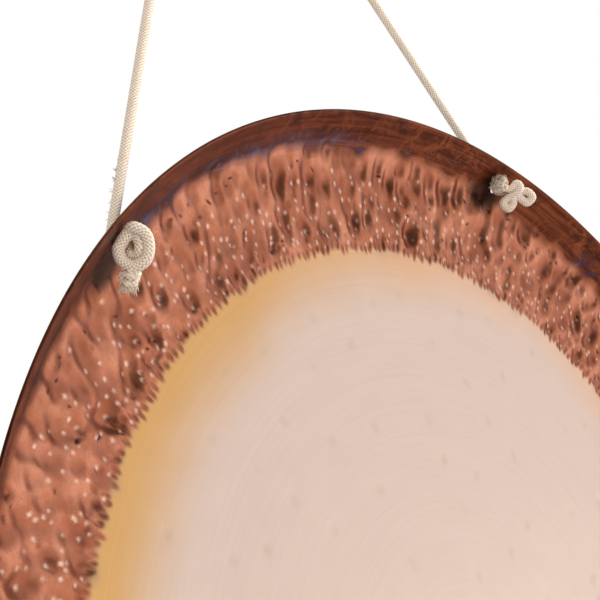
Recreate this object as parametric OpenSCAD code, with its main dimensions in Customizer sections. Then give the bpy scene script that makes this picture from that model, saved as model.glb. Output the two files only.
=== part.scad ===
// Tam tam: a dished bronze disc with a turned-up rim, hung by a knotted cord from an S-hook.
// Origin: where the S-hook's upper bend bears on whatever carries it. +Z is up, and the
// concave side of the disc, with the rim standing forward, faces -Y.

/* [Disc] */
// Diameter over the lip of the rim
disc_d = 800; // [770:5:860]
// Diameter of the bend between the face and the rim
bend_d = 776; // [750:2:784]
// How far the rim stands forward of the bend
rim_depth = 23; // [16:1:36]
// Thickness of the forged sheet
sheet_t = 2; // [1.6:0.1:2.6]
// How far the centre of the face lies behind the bend
dish_depth = 28; // [10:1:40]
// Shape of the dish: a higher power is flatter in the middle
dish_power = 6; // [3:1:8]
// Lean of the disc when its centre of mass hangs under the two holes
disc_lean = 5; // [0:0.5:8]
// Distance between the two cord holes
hole_spacing = 394; // [386:1:402]
// How far the cord holes stand forward of the bend
hole_forward = 6; // [6:0.5:12]
// Diameter of each cord hole
hole_d = 9; // [8:0.5:12]

/* [Cord] */
// Diameter of the braided cord
cord_d = 6; // [5:0.5:6]
// Diameter of the top knot
top_knot_d = 21; // [18:1:26]
// Middle radius of the turn of cord in the left stopper knot
left_turn_r = 8.5; // [8:0.5:10]
// Middle radius of the bulky right stopper knot's outer turn
right_turn_r = 7.5; // [6.5:0.5:8]
// Length of the left cord end below its knot
left_tail_l = 12; // [8:1:16]
// Length of the right cord end, a frayed brush
right_tail_l = 12; // [8:1:14]

/* [Hook] */
// Wire diameter of the S-hook
wire_d = 5; // [4:0.5:6]
// Inner radius of both bends
bend_in_r = 10; // [9:0.5:12]

/* [Hidden] */
$fn = 96;

STEEL = [0.66, 0.67, 0.68];
COTTON = [0.86, 0.81, 0.72];
BRONZE = [0.74, 0.46, 0.32];

// Hook: two equal bends of opposite hand that meet halfway between the bar and the loop
bend_r = bend_in_r + wire_d / 2;
upper_z = -bend_in_r;
lower_z = upper_z - 2 * bend_r;
wire_z = lower_z - bend_r;   // middle of the wire where the loop hangs
bend_turn = 255;             // degrees of each bend, from its cut end to the middle of the hook
WIRE_STEP = 15;
WIRE_SIDES = 16;
HOOK_CURVE = concat(
    [for (a = [270 - bend_turn:WIRE_STEP:270]) [bend_r * cos(a), 0, upper_z + bend_r * sin(a)]],
    [for (a = [90 - WIRE_STEP:-WIRE_STEP:90 - bend_turn]) [bend_r * cos(a), 0, lower_z + bend_r * sin(a)]]
);

// Top loop: clear of the wire by slack
slack = 0.3;
loop_r = wire_d / 2 + cord_d / 2 + slack;
top_knot_z = wire_z - 21;    // upper face of the top knot
top_knot_h = 21;
knot_round = 6;

// Cord holes, in the rim close to the bend
hole_line_z = -420;
lip_r = disc_d / 2;
bend_line_r = bend_d / 2;
rim_run = lip_r - bend_line_r;
hole_r = bend_line_r + rim_run * hole_forward / rim_depth;
hole_y = -hole_forward;
hole_side = asin(hole_spacing / 2 / hole_r);
hole_up = hole_r * cos(hole_side);
rim_slope = atan2(rim_run, rim_depth);   // angle of the rim's outward normal above the disc's plane

// Right leg of the cord from the rim hole to the top knot; the left leg is its mirror image
LEG_ROUTE = [
    [197.7, 0.8, -418.8], [198.1, 1.5, -417.7], [198.1, 2, -416.3], [197.6, 2.1, -415], [195.8, 2.1, -412],
    [6, 0, top_knot_z - top_knot_h]
];
LEG_SIDES = 10;
RING_GAP = 15;

// Sheet of the disc: front points from the centre out, then the same points moved back
FACE_STEPS = 20;
BEND_STEPS = 6;
RIM_STEPS = 3;
bend_soft = 5;    // how far each side of the bend is rounded

function dish_y(r) = dish_depth * (1 - pow(r / bend_line_r, dish_power));
function mix(a, b, t) = a * (1 - t) + b * t;
function curve3(a, b, c, t) = mix(mix(a, b, t), mix(b, c, t), t);
function unit(v) = v / norm(v);

bend_in = [bend_line_r - bend_soft, dish_y(bend_line_r - bend_soft)];
bend_out = mix([bend_line_r, 0], [lip_r, -rim_depth], bend_soft / norm([rim_run, rim_depth]));
front = concat(
    [for (i = [0:FACE_STEPS - 1]) let (r = bend_in[0] * sqrt(i / FACE_STEPS)) [r, dish_y(r)]],
    [for (i = [0:BEND_STEPS]) curve3(bend_in, [bend_line_r, 0], bend_out, i / BEND_STEPS)],
    [for (i = [1:RIM_STEPS]) mix(bend_out, [lip_r, -rim_depth], i / RIM_STEPS)]
);
last = len(front) - 1;
function along(i) = i == 0 ? [1, 0] : unit(front[min(i + 1, last)] - front[i - 1]);
back = [for (i = [last:-1:0]) front[i] + sheet_t * [-along(i)[1], along(i)[0]]];

// Puts shapes of the disc's own frame (face square to Y, centre of the bend circle at its origin) in place
module on_disc() {
    translate([0, 0, hole_line_z]) rotate([-disc_lean, 0, 0]) translate([0, -hole_y, -hole_up])
        children();
}

// Puts shapes at a cord hole, with +Z out of the rim along the hole. side is -1 for left, 1 for right
module at_hole(side) {
    on_disc() rotate([0, side * hole_side, 0]) translate([0, hole_y, hole_r])
        rotate([-rim_slope, 0, 0]) children();
}

// Part of a ring of round wire or cord, about Z, from angle 0
module bent_rod(middle_r, rod_d, turn) {
    rotate_extrude(angle = turn) translate([middle_r, 0]) circle(d = rod_d, $fn = 32);
}

// A round tube swept along a route that nowhere runs along Y
module swept_tube(route, d, sides) {
    end = len(route) - 1;
    rings = [for (i = [0:end])
        let (t = unit(route[min(i + 1, end)] - route[max(i - 1, 0)]), u = unit(cross(t, [0, 1, 0])), v = cross(t, u))
        for (k = [0:sides - 1]) route[i] + d / 2 * (cos(360 * k / sides) * u + sin(360 * k / sides) * v)];
    walls = [for (i = [0:end - 1]) for (k = [0:sides - 1]) let (n = (k + 1) % sides)
        [i * sides + k, (i + 1) * sides + k, (i + 1) * sides + n, i * sides + n]];
    first_cap = [for (k = [0:sides - 1]) k];
    last_cap = [for (k = [sides - 1:-1:0]) end * sides + k];
    polyhedron(points = rings, faces = concat([first_cap], walls, [last_cap]), convexity = 4);
}

module s_hook() color(STEEL) swept_tube(HOOK_CURVE, wire_d, WIRE_SIDES);

module top_loop() color(COTTON) translate([0, 0, wire_z]) {
    rotate([90, 0, 90]) bent_rod(loop_r, cord_d, 180);
    for (s = [-1, 1]) translate([0, s * loop_r, top_knot_z - wire_z])
        cylinder(d = cord_d, h = wire_z - top_knot_z, $fn = 32);
}

module top_knot() color(COTTON) translate([0, 0, top_knot_z - top_knot_h])
    rotate_extrude() polygon(concat(
        [[0, 0]],
        [for (a = [0:15:90]) [top_knot_d / 2 - knot_round + knot_round * sin(a), knot_round * (1 - cos(a))]],
        [for (a = [90:15:180])
            [top_knot_d / 2 - knot_round + knot_round * sin(a), top_knot_h - knot_round * (1 + cos(a))]],
        [[0, top_knot_h]]
    ));

// The route with points added so that no two rings are further apart than RING_GAP
function filled(route) = concat(
    [for (i = [0:len(route) - 2])
        let (n = ceil(norm(route[i + 1] - route[i]) / RING_GAP)) for (k = [0:n - 1])
            mix(route[i], route[i + 1], k / n)],
    [route[len(route) - 1]]
);

module leg(side) color(COTTON)
    swept_tube(filled([for (p = LEG_ROUTE) [side * p[0], p[1], p[2]]]), cord_d, LEG_SIDES);

module left_cord() leg(-1);
module right_cord() leg(1);

// Cord in the rim hole, from the middle of the sheet to inside_l below it
module hole_cord(inside_l) {
    translate([0, 0, -sheet_t / 2 - inside_l]) cylinder(d = cord_d, h = sheet_t / 2 + inside_l, $fn = 32);
}

// Ring of cord whose axis points along the direction given in degrees from +Z, then round Z
module cord_ring(place, facing, middle_r, rod_d) {
    translate(place) rotate([0, facing[0], facing[1]]) bent_rod(middle_r, rod_d, 360, $fn = 48);
}

module left_knot() color(COTTON) at_hole(-1) {
    hole_cord(14);
    cord_ring([-3.5, -7, -11.5], [138.5, -136], left_turn_r, cord_d * 1.08);
}

module right_knot() color(COTTON) at_hole(1) {
    hole_cord(10);
    cord_ring([8, -6.5, -12], [137, -151], right_turn_r, cord_d * 1.2);
    translate([8, -6.5, -12]) sphere(d = cord_d * 2, $fn = 32);
}

module left_tail() color(COTTON) at_hole(-1)
    translate([-7, 0.5, -13.5]) rotate([0, 119, 132]) cylinder(d = cord_d, h = left_tail_l, $fn = 32);

module right_tail() color(COTTON) at_hole(1)
    translate([3, -6, -10.5]) rotate([0, 96, 181])
        cylinder(d1 = cord_d, d2 = cord_d * 2.3, h = right_tail_l, $fn = 32);

module gong_disc() color(BRONZE) difference() {
    on_disc() rotate([-90, 0, 0]) rotate_extrude($fn = 180) polygon(concat(front, back));
    for (side = [-1, 1]) at_hole(side) translate([0, 0, -10]) cylinder(d = hole_d, h = 20, $fn = 48);
}

s_hook();
top_loop();
top_knot();
left_cord();
right_cord();
left_knot();
left_tail();
right_knot();
right_tail();
gong_disc();
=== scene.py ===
import math

import bpy
import numpy as np
from mathutils import Matrix, Vector


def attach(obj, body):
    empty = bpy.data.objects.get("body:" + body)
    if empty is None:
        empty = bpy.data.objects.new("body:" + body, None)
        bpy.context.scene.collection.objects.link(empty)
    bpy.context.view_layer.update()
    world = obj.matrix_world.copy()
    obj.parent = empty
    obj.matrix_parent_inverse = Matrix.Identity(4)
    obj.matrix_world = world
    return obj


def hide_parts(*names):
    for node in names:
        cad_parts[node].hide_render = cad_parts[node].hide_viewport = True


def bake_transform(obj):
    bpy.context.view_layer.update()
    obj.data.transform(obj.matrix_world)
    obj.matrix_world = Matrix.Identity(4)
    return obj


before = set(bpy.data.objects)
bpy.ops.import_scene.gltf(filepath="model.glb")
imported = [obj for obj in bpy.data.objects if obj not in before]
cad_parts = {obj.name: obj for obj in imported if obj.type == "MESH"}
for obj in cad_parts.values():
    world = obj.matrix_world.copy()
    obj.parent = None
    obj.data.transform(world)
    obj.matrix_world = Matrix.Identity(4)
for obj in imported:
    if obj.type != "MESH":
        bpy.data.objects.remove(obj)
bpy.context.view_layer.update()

MM = 0.001
rng = np.random.default_rng(20)

# ---------------------------------------------------------------- camera
# Seen from the left of the concave side, close to the disc, with the camera rolled
CAM_PLACE = (-0.6234, -0.4664, -0.5200)
CAM_AZIMUTH, CAM_ELEVATION, CAM_ROLL = 49.963, 3.802, -16.889      # degrees
CAM_LENS, CAM_SENSOR = 72, 36                                      # millimetres
CAM_NEAR = 0.02                                                    # nothing nearer than this is drawn, metres
az, el, roll = (math.radians(a) for a in (CAM_AZIMUTH, CAM_ELEVATION, CAM_ROLL))
LOOK = Vector((math.sin(az) * math.cos(el), math.cos(az) * math.cos(el), math.sin(el)))
level_right = LOOK.cross(Vector((0, 0, 1))).normalized()
level_up = level_right.cross(LOOK)
RIGHT = math.cos(roll) * level_right + math.sin(roll) * level_up
UP = -math.sin(roll) * level_right + math.cos(roll) * level_up

cam_data = bpy.data.cameras.new("camera")
cam_data.lens, cam_data.sensor_width = CAM_LENS, CAM_SENSOR
cam_data.clip_start = CAM_NEAR
camera = bpy.data.objects.new("camera", cam_data)
bpy.context.scene.collection.objects.link(camera)
CAM_TURN = Matrix((RIGHT, UP, -LOOK)).transposed().to_4x4()
camera.matrix_world = Matrix.Translation(CAM_PLACE) @ CAM_TURN
bpy.context.scene.camera = camera
bpy.context.scene.view_settings.view_transform = "Standard"

# ---------------------------------------------------------------- where the disc hangs (millimetres)
DISC_LEAN = 5                                  # degrees
HOLE_LINE_Z = -420                             # height of the line through the two cord holes
LIP_R, BEND_R, RIM_DEPTH, SHEET = 400, 388, 23, 2
DISH_DEPTH, DISH_POWER = 28, 6
HOLE_FORWARD, HOLE_X, HOLE_D = 6, 197, 9       # how far forward of the bend, how far from the middle, diameter
HOLE_R, HOLE_Y = BEND_R + (LIP_R - BEND_R) * HOLE_FORWARD / RIM_DEPTH, -HOLE_FORWARD
HOLE_UP = math.sqrt(HOLE_R ** 2 - HOLE_X ** 2)
HOLE_SIDE = math.asin(HOLE_X / HOLE_R)         # angle of a hole from the top of the disc
RIM_SLOPE = math.atan2(LIP_R - BEND_R, RIM_DEPTH)
CORD_D = 6
FULL_TURN = 2 * math.pi

ON_DISC = (Matrix.Translation((0, 0, HOLE_LINE_Z)) @ Matrix.Rotation(-math.radians(DISC_LEAN), 4, "X")
           @ Matrix.Translation((0, -HOLE_Y, -HOLE_UP)))


def at_hole(side):
    """The frame of a cord hole, in millimetres: +Z out through the rim, X along the rim."""
    return (ON_DISC @ Matrix.Rotation(side * HOLE_SIDE, 4, "Y") @ Matrix.Translation((0, HOLE_Y, HOLE_R))
            @ Matrix.Rotation(-RIM_SLOPE, 4, "X"))


# ---------------------------------------------------------------- mesh tools
SPLINE_CUTS = 40      # points worked out between two given points of a curve


def make_object(name, verts, faces, material, attributes=None):
    """A smooth mesh object. verts in metres; faces is a list of index arrays, one per face size."""
    mesh = bpy.data.meshes.new(name)
    verts = np.asarray(verts, np.float32)
    sizes = np.concatenate([np.full(len(f), f.shape[1], np.int32) for f in faces if len(f)])
    corners = np.concatenate([f.reshape(-1) for f in faces if len(f)]).astype(np.int32)
    mesh.vertices.add(len(verts))
    mesh.vertices.foreach_set("co", verts.reshape(-1))
    mesh.loops.add(len(corners))
    mesh.loops.foreach_set("vertex_index", corners)
    mesh.polygons.add(len(sizes))
    starts = np.concatenate([[0], np.cumsum(sizes)[:-1]]).astype(np.int32)
    mesh.polygons.foreach_set("loop_start", starts)
    mesh.update(calc_edges=True)
    mesh.validate()
    mesh.polygons.foreach_set("use_smooth", np.ones(len(mesh.polygons), bool))
    for key, values in (attributes or {}).items():
        layer = mesh.attributes.new(key, "FLOAT", "POINT")
        layer.data.foreach_set("value", np.asarray(values, np.float32))
    mesh.materials.append(material)
    obj = bpy.data.objects.new(name, mesh)
    bpy.context.scene.collection.objects.link(obj)
    bpy.context.view_layer.update()
    return obj


def distance_along(points):
    """How far along a line of points each one lies."""
    return np.concatenate([[0], np.cumsum(np.linalg.norm(np.diff(points, axis=0), axis=1))])


def spline(points, step):
    """Points about step apart on a Catmull-Rom curve through the given points."""
    p = np.asarray(points, float)
    p = np.vstack([2 * p[0] - p[1], p, 2 * p[-1] - p[-2]])
    dense = []
    for i in range(1, len(p) - 2):
        t = np.linspace(0, 1, SPLINE_CUTS, endpoint=False)[:, None]
        a, b, c, d = p[i - 1], p[i], p[i + 1], p[i + 2]
        dense.append(0.5 * (2 * b + (c - a) * t + (2 * a - 5 * b + 4 * c - d) * t ** 2
                            + (3 * b - a - 3 * c + d) * t ** 3))
    dense = np.vstack(dense + [p[-2][None]])
    run = distance_along(dense)
    at = np.linspace(0, run[-1], max(4, int(round(run[-1] / step)) + 1))
    return np.stack([np.interp(at, run, dense[:, k]) for k in range(3)], 1)


def carried_frames(path):
    """Two directions square to the path at each point, turning as little as they can."""
    tangent = np.gradient(path, axis=0)
    tangent /= np.linalg.norm(tangent, axis=1)[:, None]
    u = np.cross(tangent[0], [0.3, 0.2, 0.9] if abs(tangent[0][2]) < 0.8 else [1, 0.2, 0])
    us = []
    for t in tangent:
        u = u - t * np.dot(u, t)
        u = u / np.linalg.norm(u)
        us.append(u)
    us = np.array(us)
    return us, np.cross(tangent, us)


def circle(around):
    """Angles evenly spaced round a full turn."""
    return np.linspace(0, FULL_TURN, around, endpoint=False)


def tube_points(path, radius, phi):
    """Rings of points round a path. radius has a row for each path point, and one column or one for each angle."""
    u, v = carried_frames(path)
    across = np.cos(phi)[None, :, None] * u[:, None] + np.sin(phi)[None, :, None] * v[:, None]
    return (path[:, None] + radius[..., None] * across).reshape(-1, 3)


def tube_faces(rings, around):
    """The quads between the rings of a tube."""
    i, k = np.meshgrid(np.arange(rings - 1), np.arange(around), indexing="ij")
    n = (k + 1) % around
    here, beyond = i * around, (i + 1) * around
    return np.stack([here + k, here + n, beyond + n, beyond + k], -1).reshape(-1, 4)


def capped(verts, rings, around):
    """A tube's points and faces, with a point added at each end and the triangles to it."""
    first, last = verts[:around].mean(0), verts[-around:].mean(0)
    total = len(verts)
    k = np.arange(around)
    n = (k + 1) % around
    base = (rings - 1) * around
    low = np.stack([n, k, np.full(around, total)], 1)
    high = np.stack([base + k, base + n, np.full(around, total + 1)], 1)
    return np.vstack([verts, first, last]), [tube_faces(rings, around), np.vstack([low, high])]


def rounded_ends(run, reach, least):
    """How much of its radius a tube keeps at each point, so that its ends are round."""
    edge = np.clip(np.minimum(run, run[-1] - run) / reach, 0, 1)
    return np.sqrt(np.clip(1 - (1 - edge) ** 2, least, 1))


STRANDS = 8          # strands in each direction round the braid
BRAID_PITCH = 2.1    # millimetres along the cord for one strand width
GROOVE_DEPTH = 0.24  # depth of the groove between strands, as a share of the cord's radius


def braid(path, radius, around=48, end_round=0.0, swell=None):
    """A braided cord along a path in millimetres: points, faces and how deep each point is in a groove."""
    run, phi = distance_along(path), circle(around)
    turn, along = phi[None, :] * STRANDS / FULL_TURN, run[:, None] / BRAID_PITCH
    a, b = turn + along, turn - along
    over = (np.floor(a) + np.floor(b)) % 2 == 0
    fa, fb = a - np.floor(a), b - np.floor(b)
    across = np.where(over, fa, fb) * 2 - 1
    lengthwise = np.where(over, fb, fa) * 2 - 1
    height = np.sqrt(np.clip(1 - 0.95 * across ** 2, 0, 1)) * (1 - 0.35 * lengthwise ** 2)
    r = radius * (1 - GROOVE_DEPTH * (1 - height))
    if swell is not None:
        r = r * swell(run / run[-1])[:, None]
    if end_round:
        r = r * rounded_ends(run, end_round, 0.02)[:, None]
    verts, faces = capped(tube_points(path, r, phi), len(path), around)
    groove = np.concatenate([(1 - height).reshape(-1), [0.5, 0.5]])
    return verts, faces, groove


FIBRE_POINTS, FIBRE_SIDES = 6, 5


def fibres(roots, ways, lengths, bend, thick, seed):
    """Loose fibres as thin tapered tubes, in millimetres."""
    draw = np.random.default_rng(seed)
    all_verts, quads, tris, start = [], [], [], 0
    for root, way, length in zip(roots, ways, lengths):
        way = np.asarray(way, float) / np.linalg.norm(way)
        side = np.cross(way, draw.normal(size=3))
        side /= np.linalg.norm(side)
        t = np.linspace(0, 1, FIBRE_POINTS)[:, None]
        wave = draw.uniform(-0.12, 0.12) * length
        line = np.asarray(root) + way * t * length + side * (bend * length * t ** 2 + wave * np.sin(3 * t))
        r = thick * draw.uniform(0.7, 1.2) * (1 - 0.7 * t)
        phi = np.arange(FIBRE_SIDES) * 2 * math.pi / FIBRE_SIDES
        verts, (quad, tri) = capped(tube_points(line, r, phi), FIBRE_POINTS, FIBRE_SIDES)
        all_verts.append(verts)
        quads.append(quad + start)
        tris.append(tri + start)
        start += len(verts)
    return np.vstack(all_verts), [np.vstack(quads), np.vstack(tris)]


def placed(points, matrix):
    """Points taken through a matrix."""
    m = np.array(matrix)
    return np.asarray(points, float) @ m[:3, :3].T + m[:3, 3]


# ---------------------------------------------------------------- node tools
class Graph:
    """A material's nodes, built by short calls."""

    def __init__(self, name):
        self.material = bpy.data.materials.new(name)
        self.material.use_nodes = True
        self.tree = self.material.node_tree
        self.tree.nodes.clear()
        self.shader = self.tree.nodes.new("ShaderNodeBsdfPrincipled")
        out = self.tree.nodes.new("ShaderNodeOutputMaterial")
        self.tree.links.new(self.shader.outputs[0], out.inputs[0])

    def put(self, socket, value):
        """Links a socket to another, or sets its value."""
        if isinstance(value, bpy.types.NodeSocket):
            self.tree.links.new(value, socket)
        elif value is not None:
            socket.default_value = value

    def node(self, kind, inputs=(), out=0, **props):
        """Adds a node and gives one of its outputs."""
        n = self.tree.nodes.new(kind)
        for key, value in props.items():
            setattr(n, key, value)
        for key, value in dict(inputs).items():
            self.put(n.inputs[key], value)
        return n.outputs[out]

    def math(self, op, a, b=0.0, clamp=False):
        return self.node("ShaderNodeMath", {0: a, 1: b}, operation=op, use_clamp=clamp)

    def ramp(self, value, low, high, to_low=0.0, to_high=1.0):
        """A smooth step from to_low to to_high as value goes from low to high."""
        n = self.tree.nodes.new("ShaderNodeMapRange")
        n.interpolation_type = "SMOOTHSTEP"
        for k, x in enumerate((value, low, high, to_low, to_high)):
            self.put(n.inputs[k], x)
        return n.outputs[0]

    def mix(self, factor, a, b, how="MIX"):
        n = self.tree.nodes.new("ShaderNodeMix")
        n.data_type, n.blend_type = "RGBA", how
        for k, x in ((0, factor), (6, a), (7, b)):
            self.put(n.inputs[k], (*x, 1) if isinstance(x, tuple) else x)
        return n.outputs[2]

    def noise(self, vector, scale, detail=3.0, rough=0.55, distort=0.0):
        return self.node("ShaderNodeTexNoise", {"Vector": vector, "Scale": scale, "Detail": detail,
                                                "Roughness": rough, "Distortion": distort})

    def attribute(self, name):
        """A mask kept on the mesh, one number a point."""
        return self.node("ShaderNodeAttribute", out=2, attribute_name=name)

    def vector(self, x, y, z):
        return self.node("ShaderNodeCombineXYZ", {0: x, 1: y, 2: z})

    def bump(self, height, distance, strength=1.0, normal=None):
        return self.node("ShaderNodeBump", {"Height": height, "Distance": distance, "Strength": strength,
                                            "Normal": normal})

    def finish(self, **sockets):
        """Sets the shader's sockets, named in lower case, and gives the material."""
        for key, value in sockets.items():
            name = key.replace("_", " ").title().replace("Ior", "IOR")
            self.put(self.shader.inputs[name], (*value, 1) if isinstance(value, tuple) else value)
        return self.material


# ---------------------------------------------------------------- materials
def cotton_material():
    """Off-white braid with painted shade in its grooves, and worn patches."""
    g = Graph("cotton_cord")
    place = g.node("ShaderNodeTexCoord", out=3)
    groove = g.attribute("groove")
    fine = g.noise(place, 2600, 3)
    worn = g.ramp(g.noise(place, 90, 2), 0.45, 0.75)
    thread = g.mix(fine, (0.85, 0.71, 0.57), (0.98, 0.91, 0.81))
    thread = g.mix(g.math("MULTIPLY", worn, 0.4), thread, (0.78, 0.64, 0.48))
    # painted shade: the groove attribute darkens the braid's grooves, the inside of the knots and the sunken lumps of
    # the cut ends; on loose fibres it is a random tone
    colour = g.mix(g.ramp(groove, 0.12, 0.75, 0.0, 0.90), thread, (0.28, 0.145, 0.072))
    normal = g.bump(fine, 0.0003, 0.8)
    return g.finish(base_color=colour, roughness=0.88, normal=normal, sheen_weight=0.25,
                    sheen_roughness=0.5, specular_ior_level=0.25)


def steel_material():
    """Plated wire, a little cloudy."""
    g = Graph("zinc_steel")
    place = g.node("ShaderNodeTexCoord", out=3)
    cloudy = g.noise(place, 160, 4)
    fine = g.noise(place, 1500, 3)
    colour = g.mix(g.ramp(cloudy, 0.35, 0.7), (0.62, 0.63, 0.64), (0.78, 0.79, 0.80))
    rough = g.ramp(cloudy, 0.3, 0.7, 0.26, 0.42)
    return g.finish(base_color=colour, metallic=1.0, roughness=rough, normal=g.bump(fine, 0.00004, 0.5))


COTTON = cotton_material()
STEEL = steel_material()


KEPT = ("ring", "rim", "dent", "pit_highlight", "slot", "bend", "painted_knot_shadow")   # masks on the sheet that its material reads


def gong_material():
    """Bronze: turned face, hammered ring and turned-up rim. Its lengths are metres in the disc's own frame."""
    g = Graph("hammered_bronze")
    place = g.node("ShaderNodeAttribute", out=1, attribute_name="own_place")
    split = g.tree.nodes.new("ShaderNodeSeparateXYZ")
    g.put(split.inputs[0], place)
    x, y, z = split.outputs
    radius = g.math("SQRT", g.math("ADD", g.math("MULTIPLY", x, x), g.math("MULTIPLY", z, z)))
    safe = g.math("MAXIMUM", radius, 0.004)
    cosine, sine = g.math("DIVIDE", x, safe), g.math("DIVIDE", z, safe)
    ring, rim, dent, pit_highlight, slot, bend, painted_knot_shadow = (g.attribute(k) for k in KEPT)

    # turned face: cream in the middle, ochre towards the hammered ring, salmon on the right
    low = g.noise(place, 7, 3)
    lathe = g.noise(g.vector(g.math("MULTIPLY", cosine, 1.6), g.math("MULTIPLY", sine, 1.6),
                             g.math("MULTIPLY", radius, 520.0)), 1.0, 4, 0.7)
    wobble = g.math("MULTIPLY", g.math("SUBTRACT", low, 0.5), 0.05)
    reach = g.math("ADD", g.math("SUBTRACT", radius, g.math("MULTIPLY", cosine, 0.018)), wobble)
    band = g.ramp(reach, 0.262, 0.326)
    ochre = g.mix(g.ramp(cosine, -0.55, 0.75), (0.68, 0.385, 0.150), (0.80, 0.47, 0.30))
    turned = g.mix(band, (0.735, 0.575, 0.500), ochre)
    # painted shade in the faint hammer marks of the turned face
    turned = g.mix(g.math("MULTIPLY", dent, 0.55), turned, (0.50, 0.37, 0.29))
    lathe_tint = g.mix(g.ramp(lathe, 0.3, 0.7), (0.93, 0.92, 0.90), (1.0, 1.0, 1.0))
    turned = g.mix(0.5, turned, lathe_tint, "MULTIPLY")

    # hammered ring: copper red, darker where the hammer went in, partly patina in the hollows and partly painted
    # shade; pale painted highlights on the pits
    grain = g.noise(place, 900, 4, 0.6)
    blotch = g.noise(place, 45, 4, 0.6)
    copper = g.mix(g.ramp(blotch, 0.35, 0.68), (0.44, 0.150, 0.080), (0.66, 0.265, 0.162))
    copper = g.mix(g.math("MULTIPLY", g.ramp(dent, 0.12, 0.9), 0.60), copper, (0.22, 0.055, 0.028))
    copper = g.mix(g.math("MULTIPLY", g.ramp(grain, 0.54, 0.70), 0.38), copper, (0.20, 0.06, 0.03))
    # painted highlight: the pits are turned pale pink
    copper = g.mix(g.math("MULTIPLY", pit_highlight, 0.8), copper, (1.0, 0.72, 0.60))
    copper = g.mix(slot, copper, (0.03, 0.012, 0.008))

    # turned-up rim: dark red-brown with streaks round it, and a violet patina at the bend
    out_along = g.math("MULTIPLY", g.math("SUBTRACT", radius, y), 190.0)
    streak = g.noise(g.vector(g.math("MULTIPLY", cosine, 5.0), g.math("MULTIPLY", sine, 5.0), out_along), 1.0, 4, 0.65)
    mottle = g.noise(place, 34, 5, 0.65, 0.6)
    brown = g.mix(g.ramp(streak, 0.32, 0.68), (0.075, 0.019, 0.009), (0.23, 0.062, 0.028))
    brown = g.mix(g.ramp(mottle, 0.48, 0.66, 0.0, 0.85), brown, (0.050, 0.018, 0.014))
    rusty = g.noise(place, 60, 5, 0.7, 1.2)
    brown = g.mix(g.ramp(rusty, 0.48, 0.70, 0.0, 0.75), brown, (0.30, 0.085, 0.038))
    top = g.math("MULTIPLY", g.ramp(sine, 0.78, 0.98), g.ramp(cosine, 0.22, 0.02))
    at_top = g.math("MULTIPLY", top, g.ramp(rusty, 0.42, 0.58, 0.10, 1.0))
    violet = g.math("MULTIPLY", bend, g.math("ADD", at_top, g.ramp(mottle, 0.56, 0.66, 0.0, 0.55)), clamp=True)
    patina = g.mix(g.ramp(blotch, 0.4, 0.6), (0.070, 0.045, 0.085), (0.13, 0.12, 0.20))

    colour = g.mix(ring, turned, copper)
    colour = g.mix(rim, colour, brown)
    colour = g.mix(violet, colour, patina)
    # painted shadow of the knots, from the mask stamped round their holes
    colour = g.mix(g.ramp(painted_knot_shadow, 0.0, 0.95, 0.0, 0.90), colour, (0.026, 0.011, 0.008))

    rough = g.ramp(ring, 0.0, 1.0, 0.34, 0.33)
    rough = g.math("ADD", rough, g.math("MULTIPLY", g.math("SUBTRACT", blotch, 0.5), 0.12))
    rough = g.math("ADD", rough, g.math("MULTIPLY", rim, 0.03))

    # fine relief: lathe lines, the grain of the ring, streaks on the rim
    normal = g.bump(g.math("MULTIPLY", lathe, g.math("SUBTRACT", 1.0, ring)), 0.00004, 0.5)
    normal = g.bump(g.math("MULTIPLY", grain, ring), 0.00010, 0.45, normal)
    normal = g.bump(g.math("MULTIPLY", streak, rim), 0.00025, 0.5, normal)
    return g.finish(base_color=colour, metallic=1.0, roughness=rough, normal=normal)


BRONZE = gong_material()

# ---------------------------------------------------------------- the disc (millimetres)
AROUND = 2048                  # points in each of its finest rings
SOFT = 5                       # how far the rounding of the bend reaches to each side
FINE_R, MIDDLE_R = 300, 150    # the rings get finer outside each of these radii
COARSE_R, CENTRE_R = 60, 7     # and coarser inside these
FIRST_MARK_R = 66              # no hammer mark lies nearer to the middle


def dish_y(r):
    """How far the dish lies behind the bend at a radius."""
    return DISH_DEPTH * (1 - (r / BEND_R) ** DISH_POWER)


def mixed(a, b, t):
    """The point a share t of the way from a to b."""
    return a * (1 - t) + b * t


bend_in = np.array([BEND_R - SOFT, dish_y(BEND_R - SOFT)])
bend_mid = np.array([BEND_R, 0.0])
lip = np.array([LIP_R, -RIM_DEPTH], float)
bend_out = mixed(bend_mid, lip, SOFT / math.hypot(LIP_R - BEND_R, RIM_DEPTH))
quad_t = np.linspace(0, 1, 15)[:, None]
curve = mixed(mixed(bend_in, bend_mid, quad_t), mixed(bend_mid, bend_out, quad_t), quad_t)
wall = mixed(bend_out, lip, np.linspace(0, 1, 16)[1:, None])
dish_r = np.concatenate([np.arange(0, COARSE_R, 7.5), np.arange(COARSE_R, MIDDLE_R, 6),
                         np.arange(MIDDLE_R, FINE_R, 3.0), np.arange(FINE_R, BEND_R - SOFT - 0.2, 1.15)])
front = np.vstack([np.stack([dish_r, dish_y(dish_r)], 1), curve, wall])
along = np.gradient(front, axis=0)
along[0] = (1, 0)
along /= np.linalg.norm(along, axis=1)[:, None]
behind = np.stack([-along[:, 1], along[:, 0]], 1)      # unit normal to the back of the sheet
run_s = distance_along(front)
JUST_UNDER = 1e-6
first_fine = int(np.searchsorted(dish_r, FINE_R - JUST_UNDER))
first_marked = int(np.searchsorted(dish_r, FIRST_MARK_R))
first_wall = len(dish_r)
total_rings = len(front)

theta = np.arange(AROUND) * 2 * math.pi / AROUND       # angle of each column, from +X towards +Z
depth = np.zeros((total_rings, AROUND))                # how far each point is pressed back, in millimetres
dent_mask, pit_highlight_mask, slot_mask, tooth_mask, painted_knot_shadow_mask = (np.zeros_like(depth) for _ in range(5))


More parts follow.
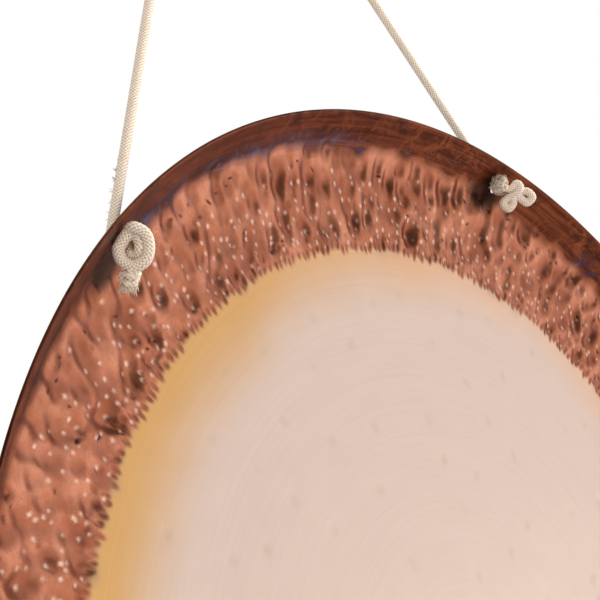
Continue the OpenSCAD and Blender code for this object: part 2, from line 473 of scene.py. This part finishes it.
def stamp(at, r0, half_t, half_r, deep, turn=0.0, power=1.5, lift=0.0, mask=None, strength=1.0):
    """Presses one oval mark into the sheet and notes it in a mask. It lies at angle at and radius r0, with half
    sizes round the disc and along the radius, and may be turned or have a raised edge."""
    s0 = np.interp(r0, front[:, 0], run_s)
    big = max(half_t, half_r) * 1.5
    rows = np.arange(np.searchsorted(run_s, s0 - big), np.searchsorted(run_s, s0 + big))
    rows = rows[(rows >= first_marked) & (rows < total_rings)]
    if not len(rows):
        return
    reach = int(big / r0 / FULL_TURN * AROUND) + 2
    middle = int(round(at / FULL_TURN * AROUND))
    cols = np.arange(middle - reach, middle + reach + 1)
    across = (cols * 2 * math.pi / AROUND - at)[None, :] * front[rows, 0][:, None]
    down = (run_s[rows] - s0)[:, None] + 0 * across
    c, s = math.cos(turn), math.sin(turn)
    p, q = (c * across + s * down) / half_t, (-s * across + c * down) / half_r
    rho = p * p + q * q
    inside = np.clip(1 - rho, 0, 1) ** power
    ring_up = lift * np.exp(-((np.sqrt(rho) - 1.12) / 0.2) ** 2)
    where = np.ix_(rows, cols % AROUND)
    depth[where] += deep * inside - ring_up
    if mask is not None:
        mask[where] = np.maximum(mask[where], strength * np.clip(1 - rho, 0, 1))


def fitting(radius, gap):
    """How many marks fit round a circle."""
    return int(2 * math.pi * radius / gap)


BIG_ROWS = ((330, 16), (344, 15), (358, 15), (371, 15.5), (380.5, 19))      # radius, space between marks
SMALL_MARKS = 420
TEETH_R, TOOTH_GAP = 320, 5.2
BORDER_R, BORDER_GAP = 328, 8.5
FAINT_ROWS, FAINT_GAP = np.arange(84, 306, 40.0), 52
PIT_ROWS, PIT_GAP = np.arange(325, 376, 8.0), 8.6
PIT_CHANCE = ([318, 350, 360, 373], [0.95, 0.85, 0.45, 0.2])                # radius, share of the places filled
SLOTS = 230

# rows of big hammer marks
for row_r, gap in BIG_ROWS:
    count = fitting(row_r, gap)
    shift = rng.uniform(0, 1)
    for k in range(count):
        at = (k + shift + rng.uniform(-0.3, 0.3)) * 2 * math.pi / count
        r0 = row_r + rng.uniform(-6, 6)
        size = rng.uniform(0.7, 1.2) * (0.7 if row_r > 375 else 1)
        stamp(at, r0, 10.6 * size, 15.5 * size, rng.uniform(1.1, 2.6) * size, rng.uniform(-0.45, 0.45),
              power=3.0, mask=dent_mask, strength=rng.uniform(0.4, 1.0))
# smaller round marks between them
for k in range(SMALL_MARKS):
    size = rng.uniform(2.6, 4.6)
    stamp(rng.uniform(0, FULL_TURN), rng.uniform(324, 378), size, size * 1.15, rng.uniform(0.16, 0.42),
          mask=dent_mask, strength=rng.uniform(0.35, 0.9))
# teeth along the border with the turned face
teeth = fitting(TEETH_R, TOOTH_GAP)
for k in range(teeth):
    at = (k + rng.uniform(-0.3, 0.3)) * 2 * math.pi / teeth
    stamp(at, TEETH_R + 0.5 + rng.uniform(-1.8, 2.2), rng.uniform(1.9, 2.7), rng.uniform(4.0, 6.2),
          rng.uniform(0.45, 0.95), rng.uniform(-0.15, 0.15), mask=tooth_mask, strength=1.6)
# small marks behind the teeth
for k in range(fitting(BORDER_R, BORDER_GAP)):
    size = rng.uniform(2.2, 3.6)
    stamp(rng.uniform(0, FULL_TURN), BORDER_R + rng.uniform(-3, 3), size, size * 1.3, rng.uniform(0.3, 0.6),
          mask=dent_mask, strength=rng.uniform(0.5, 1.0))
# faint marks of the hammer left under the turning
for row_r in FAINT_ROWS:
    count = fitting(row_r, FAINT_GAP)
    for k in range(count):
        at = (k + rng.uniform(-0.4, 0.4)) * 2 * math.pi / count
        stamp(at, row_r + rng.uniform(-14, 14), rng.uniform(3.8, 5.4), rng.uniform(4.2, 6.4),
              rng.uniform(0.24, 0.50), rng.uniform(-0.8, 0.8), mask=dent_mask, strength=rng.uniform(0.15, 0.5))
# small punched pits, their mask carrying a painted highlight
for row_r in PIT_ROWS:
    chance = float(np.interp(row_r, *PIT_CHANCE))
    count = fitting(row_r, PIT_GAP)
    for k in range(count):
        if rng.uniform() > chance:
            continue
        at = (k + rng.uniform(-0.45, 0.45)) * 2 * math.pi / count
        size = rng.uniform(1.25, 1.75)
        stamp(at, row_r + rng.uniform(-3.6, 3.6), size, size * 1.2, rng.uniform(0.25, 0.5), power=1.0, lift=0.10,
              mask=pit_highlight_mask, strength=rng.uniform(0.5, 1.0))
# short slots by the bend, mostly lying round the disc
for k in range(SLOTS):
    half = rng.uniform(1.4, 3.6)
    at = rng.uniform(0, FULL_TURN)
    r0 = rng.choice([rng.uniform(372, 382), rng.uniform(326, 372)], p=[0.6, 0.4])
    stamp(at, r0, half, rng.uniform(0.7, 1.3), rng.uniform(0.3, 0.7), rng.normal(0.25, 0.5), mask=slot_mask,
          strength=rng.uniform(0.7, 1.6))

# painted shadow of the knots, dark on the sheet round their holes
hole_at = [math.pi / 2 - side * HOLE_SIDE for side in (-1, 1)]
for at, r0, half_t, half_r in ((hole_at[0] + 0.034, 387, 24, 15), (hole_at[1] + 0.018, 386, 20, 17)):
    stamp(at, r0, half_t, half_r, 0.0, mask=painted_knot_shadow_mask, strength=1.15)

# slow waves of hand work, most at the bend, fading out in the turned face and at the lip
WAVES = ((9, 0.30), (17, 0.22), (31, 0.22), (54, 0.16))       # waves round the disc, height
WAVES_R, WAVES_REACH = 382, 12
waves = np.zeros_like(depth)
for count, size in WAVES:
    waves += size * np.sin(count * theta[None, :] + rng.uniform(0, 6.28) + 0.02 * run_s[:, None])
near_bend = np.exp(-((front[:, 0] - WAVES_R) / WAVES_REACH) ** 2)
depth += waves * near_bend[:, None]

# masks of the ring, the rim and the bend
BORDER_START, BORDER_WIDTH = 317.5, 3.5                       # where the turned face gives way to the ring
ring_mask = np.clip((front[:, 0] - BORDER_START) / BORDER_WIDTH, 0, 1)[:, None] + np.zeros_like(depth)
ring_mask = np.clip(np.maximum(ring_mask, tooth_mask), 0, 1)
dent_mask = np.clip(np.maximum(dent_mask, tooth_mask * 0.45), 0, 1)
past_bend = run_s[:, None] - np.interp(BEND_R, front[:, 0], run_s)
ragged = (1.2 * np.sin(11 * theta + 1) + 1.0 * np.sin(23 * theta + 2) + 1.0 * np.sin(47 * theta)
          + 0.9 * np.sin(97 * theta + 4))
rim_mask = np.clip((past_bend + 8.0 - 1.6 * ragged[None, :]) / 8.0, 0, 1)
bend_mask = np.exp(-((past_bend - 3.0 - ragged[None, :]) / 5.5) ** 2)
MASKS = dict(zip(KEPT, (ring_mask, rim_mask, dent_mask, pit_highlight_mask, slot_mask, bend_mask, painted_knot_shadow_mask)))
FRONT_ONLY = ("pit_highlight", "slot", "painted_knot_shadow")

# Rings of the closed sheet: out along the front, round the lip, back along the rear. Each ring is
# (profile index, columns from one point to the next, distance behind the front face, outward push at the lip)
CENTRE_STEP, COARSE_STEP, MIDDLE_STEP, NEAR_STEP = 64, 32, 8, 4
BACK_STEP, BACK_FINE_STEP = 16, 2
rings = []
for i in range(total_rings):
    r = front[i, 0]
    step = (CENTRE_STEP if r < CENTRE_R else COARSE_STEP if r < COARSE_R else MIDDLE_STEP if r < MIDDLE_R
            else NEAR_STEP if r < FINE_R - JUST_UNDER else 1)
    rings.append((i, step, 0.0, 0.0))
for round_lip in (math.radians(30), math.radians(90), math.radians(150)):
    rings.append((total_rings - 1, 1, SHEET / 2 * (1 - math.cos(round_lip)), SHEET / 2 * math.sin(round_lip)))
for i in range(total_rings - 1, -1, -1):
    r = front[i, 0]
    if i >= first_wall:
        step = 1
    elif r >= FINE_R - JUST_UNDER:
        if (i - first_fine) % 2:
            continue
        step = BACK_FINE_STEP
    else:
        step = CENTRE_STEP if r < CENTRE_R else COARSE_STEP if r < COARSE_R else BACK_STEP
        if r >= COARSE_R and i % 2:
            continue
    rings.append((i, step, float(SHEET), 0.0))

BACK_SHARE = 0.7      # how much of each mark shows on the back
positions, keep = [], {key: [] for key in KEPT}
starts, counts = [], []
for i, step, behind_by, push in rings:
    cols = np.arange(0, AROUND, step)
    if front[i, 0] == 0:
        cols = cols[:1]
    share = 1 - (1 - BACK_SHARE) * behind_by / SHEET
    off = behind_by + depth[i, cols] * share
    r = front[i, 0] + behind[i, 0] * off + along[i, 0] * push
    y = front[i, 1] + behind[i, 1] * off + along[i, 1] * push
    starts.append(sum(counts))
    counts.append(len(cols))
    positions.append(np.stack([r * np.cos(theta[cols]), y, r * np.sin(theta[cols])], 1))
    on_back = behind_by > SHEET / 2
    for key in KEPT:
        keep[key].append(MASKS[key][i, cols] * (0.0 if on_back and key in FRONT_ONLY else 1.0))
positions = np.vstack(positions)
keep = {key: np.clip(np.concatenate(value), 0, 1) for key, value in keep.items()}


def strip(a, b):
    """Quads or triangles between two neighbouring rings of the sheet."""
    na, nb, sa, sb = counts[a], counts[b], starts[a], starts[b]
    if na == nb:
        k = np.arange(na)
        n = (k + 1) % na
        return np.stack([sa + k, sb + k, sb + n, sa + n], 1), np.zeros((0, 3), int)
    if na == 1:
        k = np.arange(nb)
        return np.zeros((0, 4), int), np.stack([np.full(nb, sa), sb + k, sb + (k + 1) % nb], 1)
    if nb == 1:
        k = np.arange(na)
        return np.zeros((0, 4), int), np.stack([np.full(na, sb), sa + (k + 1) % na, sa + k], 1)
    few, many, sf, sm, flip = (na, nb, sa, sb, False) if na < nb else (nb, na, sb, sa, True)
    ratio = many // few
    k = np.arange(few)
    n = (k + 1) % few
    tris = []
    for m in range(ratio):
        p, q = k * ratio + m, (k * ratio + m + 1) % many
        tris.append(np.stack([sf + (k if m < ratio / 2 else n), sm + p, sm + q], 1))
    mid = (k * ratio + (ratio + 1) // 2) % many
    tris.append(np.stack([sf + k, sm + mid, sf + n], 1))
    tris = np.vstack(tris)
    return np.zeros((0, 4), int), tris[:, ::-1] if flip else tris


quads, tris = [], []
hole_s = np.interp(HOLE_R, front[first_wall:, 0], run_s[first_wall:])


def hole_cut(lower, upper):
    """For a strip of the rim wall between two profile indices: which quads the cord holes take away."""
    gone = np.zeros(AROUND, bool)
    for at in hole_at:
        t = ((theta + math.pi / AROUND - at + math.pi) % (2 * math.pi) - math.pi) * HOLE_R
        s = (run_s[lower] + run_s[upper]) / 2 - hole_s
        gone |= t * t + s * s < (HOLE_D / 2) ** 2
    return gone


gone_cells = {}      # for each strip of the rim wall, by its lower profile index: which of its quads are gone
for a in range(len(rings) - 1):
    q, t = strip(a, a + 1)
    lower, upper = sorted((rings[a][0], rings[a + 1][0]))
    if len(q) == AROUND and lower >= first_wall and lower != upper:
        gone_cells[lower] = hole_cut(lower, upper)
        q = q[~gone_cells[lower]]
    quads.append(q)
    tris.append(t)

# Finds the edges round the holes, walls them in, and moves their points onto the circle on both faces
index_of = {}        # first point of each ring of the rim wall, by profile index and whether it is at the rear
for number, (i, step, behind_by, push) in enumerate(rings):
    if i >= first_wall and push == 0:
        index_of[(i, behind_by > 0)] = starts[number]
WHOLE = np.zeros(AROUND, bool)
edge_pairs = []
for i, gone in gone_cells.items():
    for j in np.nonzero(gone)[0]:
        n = (j + 1) % AROUND
        if not gone_cells.get(i - 1, WHOLE)[j]:
            edge_pairs.append(((i, n), (i, j)))
        if not gone_cells.get(i + 1, WHOLE)[j]:
            edge_pairs.append(((i + 1, j), (i + 1, n)))
        if not gone[(j - 1) % AROUND]:
            edge_pairs.append(((i, j), (i + 1, j)))
        if not gone[n]:
            edge_pairs.append(((i + 1, n), (i, n)))
hole_walls = [[index_of[(p[0], False)] + p[1], index_of[(q[0], False)] + q[1],
               index_of[(q[0], True)] + q[1], index_of[(p[0], True)] + p[1]] for p, q in edge_pairs]
for i, j in {point for pair in edge_pairs for point in pair}:
    at = min(hole_at, key=lambda a: abs(a - theta[j]))
    t, s = (theta[j] - at) * HOLE_R, run_s[i] - hole_s
    grow = HOLE_D / 2 / math.hypot(t, s)
    new_at, new_s = at + t * grow / HOLE_R, hole_s + s * grow
    new = np.array([np.interp(new_s, run_s, front[:, k]) for k in (0, 1)])
    for rear in (False, True):
        r, y = new + behind[i] * (SHEET if rear else 0)
        positions[index_of[(i, rear)] + j] = (r * math.cos(new_at), y, r * math.sin(new_at))
quads.append(np.array(hole_walls))

# The mesh is made in place, and keeps each point's place in the disc's own frame for the material
disc = make_object("gong_sheet", placed(positions, ON_DISC) * MM, [np.vstack(quads), np.vstack(tris)], BRONZE, keep)
own_place = disc.data.attributes.new("own_place", "FLOAT_VECTOR", "POINT")
own_place.data.foreach_set("vector", (positions * MM).astype(np.float32).reshape(-1))
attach(disc, "disc")
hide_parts("gong_disc")

# ---------------------------------------------------------------- cords (millimetres)
WIRE_D, WIRE_Z = 5, -47.5               # the hook's wire, and where the loop hangs on it
TOP_KNOT_TOP, TOP_KNOT_H = -68.5, 21
PATH_STEP = 0.42                        # between the points of a knot's centreline
LEG_BEND = np.array([[197.7, 0.8, -418.8], [198.1, 1.5, -417.7], [198.1, 2, -416.3], [197.6, 2.1, -415],
                     [195.8, 2.1, -412]])
LEG_TOP = np.array([6, 0, TOP_KNOT_TOP - TOP_KNOT_H])
LEG_STRAIGHT = np.array([0.01, 0.03, 0.07, 0.16, 0.34, 0.62, 1])[:, None]      # shares of the straight part
LEG_ROUTE = np.vstack([LEG_BEND, mixed(LEG_BEND[-1], LEG_TOP, LEG_STRAIGHT)])  # the right leg, from its hole up
LEG_START = (0, 0, -3)      # just inside the rim, in the hole's frame
LEG_STEP = 0.45


def cotton_piece(name, verts, faces, groove, body, node=None):
    """A piece of cotton, riding a body unless that is None, in place of a CAD node."""
    piece = make_object(name, verts * MM, faces, COTTON, {"groove": groove})
    if body:
        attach(piece, body)
    if node:
        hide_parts(node)
    return piece


def cord_piece(name, path, radius, body, node, middle=None, **options):
    """A piece of braided cord along a path. middle is the middle of a knot."""
    verts, faces, groove = braid(path, radius, **options)
    if middle is not None:      # painted shade: the parts of a knot more than 3 mm behind its middle, along the camera's view, are darkened
        inward = (verts - np.array(middle)) @ np.array(LOOK)
        groove = np.clip(groove + 0.9 * np.clip((inward - 3.0) / 4.0, 0, 1), 0, 1.2)
    return cotton_piece(name, verts, faces, groove, body, node)


def to_row(hole, centre):
    """The frame of a stopper knot as the camera sees it: x right, y up, z towards the camera."""
    return Matrix.Translation(hole @ Vector(centre)) @ CAM_TURN


KNOT_CLEAR = SHEET / 2 + CORD_D / 2 + 0.15      # from the middle of the sheet to a centreline lying on it
IN_HOLE_R, IN_HOLE_POINTS = 3.5, 12             # the stretch in the hole, which is let through


def knot_path(side, centre, points):
    """A stopper knot's centreline: from the hole, then through points in the camera-facing frame, clear of the rim."""
    hole = at_hole(side)
    seen = placed(points, to_row(hole, centre))
    start = placed([(0, 0, 1.0), (0, 0, -3.0)], hole)
    path = spline(np.vstack([start, seen]), PATH_STEP)
    local = placed(path, hole.inverted())
    away = np.linalg.norm(local[:, :2], axis=1) > IN_HOLE_R
    late = np.arange(len(local)) > IN_HOLE_POINTS
    local[:, 2] -= np.where(away & late, np.maximum(0, local[:, 2] + KNOT_CLEAR), 0)
    return placed(local, hole)


LEFT_CENTRE, RIGHT_CENTRE = (-4.6, -5.9, -10.6), (8, -6.5, -12)
LEFT_KNOT = [(-4.5, 7.0, -5), (0, 10, 0), (6.2, 6.8, 1), (8.2, 0, 1), (6.4, -6.9, 1), (0.3, -10.2, 0.5),
             (-5.9, -7, 0), (-8.0, 0, -0.5), (-6.2, 6.2, -2.0), (-0.8, 6.8, -3.0), (3.0, 3.6, -1.2), (3.6, -1.2, -0.8),
             (2.0, -4.6, -3.2), (-1.5, -4.4, -6), (-3.4, -0.5, -8), (-1.6, 3.0, -9), (1.8, 1.0, -9), (2, -3.4, -8),
             (0.5, -8, -5), (-1.2, -12, -2.5), (-1.7, -13.5, -2)]
RIGHT_KNOT = [(-4.5, 3.5, -4), (0, 0, -1), (4, 2.6, 0), (9.3, 2.9, 1.5), (13.2, -1.4, 2), (9.3, -5.6, 2),
              (5, -3, 2), (1.5, -0.5, 2.6), (-1.6, -2.6, 2.6), (-1.6, -6.5, 2), (-5.3, -10.2, 2), (-9.2, -6.4, 1.5),
              (-5.4, -2.4, 1.5), (-0.8, -0.6, 3.2), (2.6, 2.6, 3.6), (3.6, 6.6, 2.5), (1.2, 9.0, 2),
              (-1.2, 6.4, 1.5), (-3.4, 4.4, 0.5), (-7, 5.6, 0.5), (-10, 7, 2.5)]

left_knot = cord_piece("left_stopper_knot", knot_path(-1, LEFT_CENTRE, LEFT_KNOT), 3.45, "disc", "left_knot",
                       end_round=1.5, middle=at_hole(-1) @ Vector(LEFT_CENTRE))
right_knot = cord_piece("right_stopper_knot", knot_path(1, RIGHT_CENTRE, RIGHT_KNOT), 3.2, "disc", "right_knot",
                        end_round=1.5, middle=at_hole(1) @ Vector(RIGHT_CENTRE))


def lumpy_core(root, way, length, radius, widen, seed):
    """A short thick stub of half-unravelled braid: points, faces and how dark each point is."""
    draw = np.random.default_rng(seed)
    line = spline([Vector(root) + Vector(way) * length * t + Vector(draw.normal(0, 0.35, 3))
                   for t in (0, 0.35, 0.7, 1)], 0.35)
    verts, faces, groove = braid(line, radius, around=56, end_round=2.0, swell=lambda t: 1.06 + widen * t)
    lumps = np.zeros(len(verts))
    for k in range(7):
        wave = draw.normal(0, 1, 3) * draw.uniform(0.6, 1.3)
        lumps += 0.20 * np.sin(verts @ wave + draw.uniform(0, 6.28))
    middle = line[np.argmin(np.linalg.norm(verts[:, None] - line[None], axis=2), axis=1)]
    away = verts - middle
    verts = verts + away * (lumps / np.maximum(np.linalg.norm(away, axis=1), 1.0))[:, None]
    # painted shade: darker in the grooves and where the lumps sink in, lighter where they stand out
    return verts, faces, np.clip(groove * 0.8 - lumps * 0.5, 0, 1)


FIBRE_SPREAD, FIBRE_BEND, FIBRE_THICK = 0.3, 0.22, 0.18


def frayed(name, node, side, centre, root, way, count, radius, length, seed, core, widen):
    """The cut end of a cord, in its knot's camera-facing frame: a stub of braid, core long, with count loose fibres,
    about length long, opening like a brush. The radius grows by the share widen along it."""
    draw = np.random.default_rng(seed)
    frame_m = to_row(at_hole(side), centre)
    axis = Vector(way).normalized()
    side_a = axis.orthogonal().normalized()
    side_b = axis.cross(side_a)
    roots, ways, lengths = [], [], []
    for k in range(count):
        t, turn = min(1.0, draw.uniform(0.15, 1.3)), draw.uniform(0, 2 * math.pi)
        out = side_a * math.cos(turn) + side_b * math.sin(turn)
        wide = radius * (1 + widen * t) * (1 if t < 1 else math.sqrt(draw.uniform(0, 0.9)))
        roots.append(Vector(root) + axis * core * (t if t < 1 else 0.93) + out * wide)
        ways.append(axis * (0.5 + t) + out * FIBRE_SPREAD * wide / radius + Vector(draw.normal(0, 0.3, 3)))
        lengths.append(length * draw.uniform(0.5, 1.1))
    roots = placed(roots, frame_m)
    ways = np.asarray(ways) @ np.array(frame_m.to_3x3()).T
    verts, faces = fibres(roots, ways, lengths, FIBRE_BEND, FIBRE_THICK, seed + 1)
    shade = np.repeat(draw.uniform(0.0, 0.5, count), len(verts) // count)
    stub, stub_faces, stub_shade = lumpy_core(root, axis, core, radius, widen, seed + 2)
    stub = placed(stub, frame_m)
    faces = [np.vstack([ours, loose + len(stub)]) for ours, loose in zip(stub_faces, faces)]
    verts, shade = np.vstack([stub, verts]), np.concatenate([stub_shade, shade])
    return cotton_piece(name, verts, faces, shade, "disc", node)


left_brush = frayed("left_frayed_end", "left_tail", -1, LEFT_CENTRE, root=(-1.3, -10.5, -1.6), way=(-0.12, -1, 0.05),
                    count=260, radius=5.4, length=3.2, seed=5, core=12.0, widen=-0.24)
right_brush = frayed("right_frayed_end", "right_tail", 1, RIGHT_CENTRE, root=(-9.4, 6.6, 2.0),
                     way=(-0.55, 0.25, 0.75), count=420, radius=3.4, length=2.8, seed=9, core=6.0, widen=1.1)


def leg_piece(name, side, node):
    """One leg of the cord, from inside its rim hole to the top knot. Gives its centreline."""
    route = placed([LEG_START, (0, 0, 0)], at_hole(side))
    path = spline(np.vstack([route, [(side * x, y, z) for x, y, z in LEG_ROUTE]]), LEG_STEP)
    piece = cord_piece(name, path, CORD_D / 2 + 0.1, None, node)
    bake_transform(piece)
    return path


# top knot: a trefoil of the cord, with the two legs below and the loop above
KNOT_WIDE, KNOT_HIGH = 2.35, 6.6
turn = circle(240)
knot_mid_z = TOP_KNOT_TOP - TOP_KNOT_H / 2
swing = KNOT_WIDE * (2 + np.cos(3 * turn))
knot_line = np.stack([swing * np.cos(2 * turn), swing * np.sin(2 * turn),
                      knot_mid_z + KNOT_HIGH * np.sin(3 * turn)], 1)
knot_line = spline(np.vstack([knot_line, knot_line[:1]]), PATH_STEP)
top_knot = cord_piece("hanging_knot", knot_line, 3.3, "sling", "top_knot")

LOOP_R = WIRE_D / 2 + CORD_D / 2 + 0.3
loop_end = [(0, LOOP_R * 0.8, TOP_KNOT_TOP - 6), (0, LOOP_R, TOP_KNOT_TOP + 2)]      # down into the knot
loop_line = (loop_end + [(0, LOOP_R * math.cos(a), WIRE_Z + LOOP_R * math.sin(a))
                         for a in np.radians(np.arange(0, 181, 15))]
             + [(x, -y, z) for x, y, z in loop_end[::-1]])
top_loop = cord_piece("hanging_loop", spline(loop_line, PATH_STEP), 2.95, "loop", "top_loop", end_round=1.5)

left_line = leg_piece("left_leg", -1, "left_cord")
leg_piece("right_leg", 1, "right_cord")

# a few fibres pulled out of the left leg where it has rubbed
draw = np.random.default_rng(31)
roots, ways, lengths = [], [], []
outward = -np.array(RIGHT)
STRAYS = ((17, 3), (24, 4), (30, 7), (37, 12), (43, 8), (49, 3), (13, 3))      # distance from the hole, how many
for up_by, count in STRAYS:
    here = left_line[np.searchsorted(np.linalg.norm(left_line - left_line[0], axis=1) > up_by, True)]
    for k in range(count):
        spin = draw.normal(0, 0.5)
        way = outward * math.cos(spin) - np.array(LOOK) * math.sin(spin)
        roots.append(here + way * 2.7 + draw.normal(0, 0.8, 3) * (0, 0, 1))
        ways.append(way * 0.7 + draw.normal(0, 0.55, 3) + (0, 0, 0.5))
        lengths.append(draw.uniform(1.2, 3.0))
verts, faces = fibres(roots, ways, lengths, 0.4, 0.16, 33)
cotton_piece("left_leg_strays", verts, faces, np.full(len(verts), 0.75), "sling")

# ---------------------------------------------------------------- S-hook (millimetres)
HOOK_R, UPPER_Z, LOWER_Z = 12.5, -10, -35      # its two bends, at the middle of the wire
WIRE_SIDES = 28


def bend_points(z, degrees):
    """Points round one bend of the hook."""
    return [(HOOK_R * math.cos(math.radians(a)), 0, z + HOOK_R * math.sin(math.radians(a))) for a in degrees]


hook_line = spline(bend_points(UPPER_Z, range(15, 271, 5)) + bend_points(LOWER_Z, range(85, -166, -5)), 0.5)
wire_r = WIRE_D / 2 * rounded_ends(distance_along(hook_line), WIRE_D / 2, 0.01)
wire_points = tube_points(hook_line, wire_r[:, None], circle(WIRE_SIDES))
verts, faces = capped(wire_points, len(hook_line), WIRE_SIDES)
hook = make_object("wire_hook", verts * MM, faces, STEEL)
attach(hook, "hook")
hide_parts("s_hook")

# ---------------------------------------------------------------- floor and light
FLOOR_Z, FLOOR_R, FLOOR_SIDES = -1.35, 6, 96
floor_graph = Graph("pale_floor")
speckle = floor_graph.noise(floor_graph.node("ShaderNodeTexCoord", out=3), 12, 2)
floor_colour = floor_graph.mix(speckle, (0.86, 0.86, 0.855), (0.9, 0.9, 0.9))
floor_material = floor_graph.finish(base_color=floor_colour, roughness=0.8)
spokes = circle(FLOOR_SIDES)
floor_points = np.stack([FLOOR_R * np.cos(spokes), FLOOR_R * np.sin(spokes), np.full(FLOOR_SIDES, FLOOR_Z)], 1)
make_object("floor", floor_points, [np.arange(FLOOR_SIDES)[None, :]], floor_material)


def softbox(name, place, target, size, power, colour=(1, 1, 1), in_metal=True):
    """A rectangular light facing a target. With in_metal off it lights cord and floor but makes no reflection."""
    data = bpy.data.lights.new(name, "AREA")
    data.shape, data.size, data.size_y = "RECTANGLE", size[0], size[1]
    data.energy, data.color = power, colour
    obj = bpy.data.objects.new(name, data)
    bpy.context.scene.collection.objects.link(obj)
    obj.location = place
    obj.rotation_euler = (Vector(target) - Vector(place)).to_track_quat("-Z", "Y").to_euler()
    obj.visible_glossy = in_metal


softbox("key_softbox", (2.13, -1.55, -0.35), (0, 0, -0.6), (2.8, 2.0), 16.3, (1, 0.985, 0.96))
softbox("top_softbox", (0.3, -0.5, 1.5), (0, 0, -0.5), (1.6, 1.2), 6)
softbox("rear_softbox", (-0.8, 2.2, 0.4), (0, 0, -0.75), (2, 2), 12)
softbox("cord_light", (1.75, -1.05, 0.35), (0, 0, -0.55), (0.5, 0.5), 44, (1, 0.96, 0.90), in_metal=False)
softbox("cord_fill", (-1.1, -1.4, -0.1), (0, 0, -0.45), (0.8, 0.8), 12, (1, 0.91, 0.82), in_metal=False)

# The world is white to the camera. It lights cloth and floor more than it shows in metal.
AMBIENT, AMBIENT_ON_CLOTH = 0.16, 0.34
world = bpy.data.worlds.new("studio")
bpy.context.scene.world = world
world.use_nodes = True
nodes, links = world.node_tree.nodes, world.node_tree.links
nodes.clear()
ray = nodes.new("ShaderNodeLightPath")
white, soft = nodes.new("ShaderNodeBackground"), nodes.new("ShaderNodeBackground")
white.inputs[0].default_value, white.inputs[1].default_value = (1, 1, 1, 1), 1.0
soft.inputs[0].default_value = (1, 0.985, 0.97, 1)
both, world_out = nodes.new("ShaderNodeMixShader"), nodes.new("ShaderNodeOutputWorld")
ambient = nodes.new("ShaderNodeMath")
ambient.operation = "MULTIPLY_ADD"
ambient.inputs[1].default_value, ambient.inputs[2].default_value = AMBIENT_ON_CLOTH, AMBIENT
links.new(ray.outputs["Is Diffuse Ray"], ambient.inputs[0])
links.new(ambient.outputs[0], soft.inputs[1])
links.new(ray.outputs["Is Camera Ray"], both.inputs[0])
links.new(soft.outputs[0], both.inputs[1])
links.new(white.outputs[0], both.inputs[2])
links.new(both.outputs[0], world_out.inputs[0])
